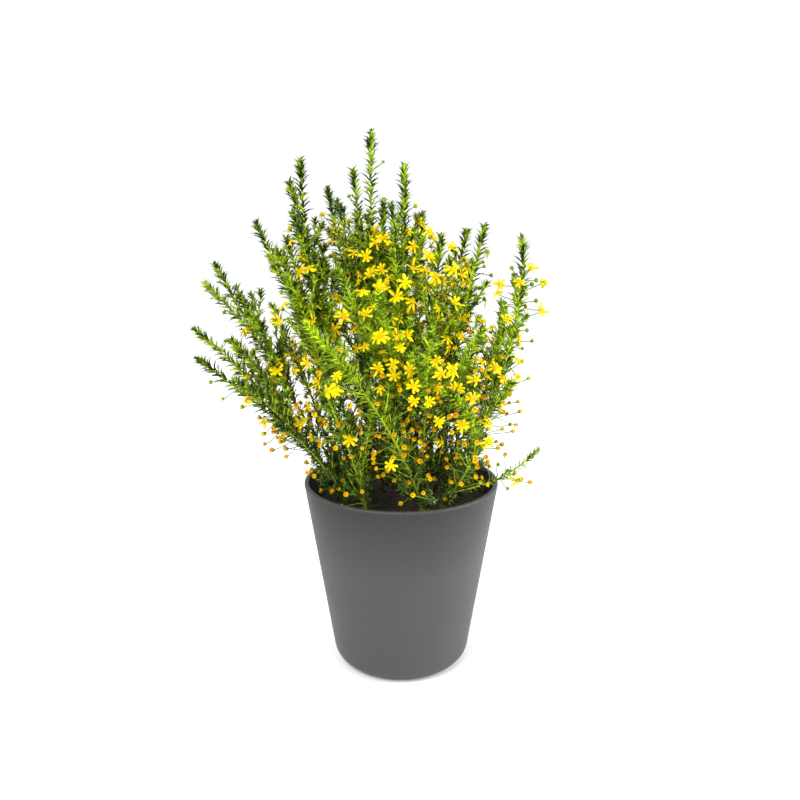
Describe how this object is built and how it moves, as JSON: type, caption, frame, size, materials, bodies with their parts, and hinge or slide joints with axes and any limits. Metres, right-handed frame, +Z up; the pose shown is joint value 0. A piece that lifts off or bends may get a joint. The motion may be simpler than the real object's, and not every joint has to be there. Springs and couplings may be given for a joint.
{
  "type": "potted honey euryops",
  "caption": "Bushy flowering house plant with upright needle-leaved shoots and small yellow daisy-like flowers and buttons, in a tapered matt grey pot with soil.",
  "frame": {"origin": "centre of the pot's flat foot, on the surface it stands on", "axes": "+Z up along the pot's axis, the picture's front towards -Y, +X to the right as seen from the front"},
  "size_m": [0.2563, 0.2181, 0.3996],
  "materials": {
    "pot": "matte",
    "soil": "matte",
    "foliage": "satin",
    "flowers": "matte"
  },
  "bodies": {
    "root": {"pot": "pot", "soil": "soil", "stem_a": "foliage", "stem_b": "foliage", "stem_c": "foliage", "stem_d": "foliage", "stem_e": "foliage", "stem_f": "foliage", "stem_g": "foliage", "stem_h": "foliage", "stem_i": "foliage", "stem_j": "foliage", "stem_k": "foliage", "stem_l": "foliage", "stem_m": "foliage", "stem_n": "foliage", "stem_q": "foliage", "stem_r": "foliage", "stem_s": "foliage", "stem_y": "foliage", "spray_a_1": "flowers", "spray_a_2": "flowers", "spray_b_3": "flowers", "spray_b_4": "flowers", "spray_c_5": "flowers", "spray_d_6": "flowers", "spray_d_7": "flowers", "spray_d_8": "flowers", "spray_d_9": "flowers", "spray_e_10": "flowers", "spray_e_11": "flowers", "spray_f_12": "flowers", "spray_g_13": "flowers", "spray_g_14": "flowers", "spray_h_15": "flowers", "spray_h_16": "flowers", "spray_i_17": "flowers", "spray_i_18": "flowers", "spray_j_19": "flowers", "spray_j_20": "flowers", "spray_k_21": "flowers", "spray_k_22": "flowers", "spray_k_23": "flowers", "spray_k_24": "flowers", "spray_k_25": "flowers", "spray_l_26": "flowers", "spray_l_27": "flowers", "spray_m_28": "flowers", "spray_m_29": "flowers", "spray_m_30": "flowers", "spray_n_31": "flowers", "spray_n_32": "flowers", "spray_n_33": "flowers", "spray_q_34": "flowers", "spray_q_35": "flowers", "spray_q_36": "flowers", "spray_r_37": "flowers", "spray_s_38": "flowers", "spray_s_39": "flowers", "spray_y_40": "flowers"}
  },
  "joints": []
}
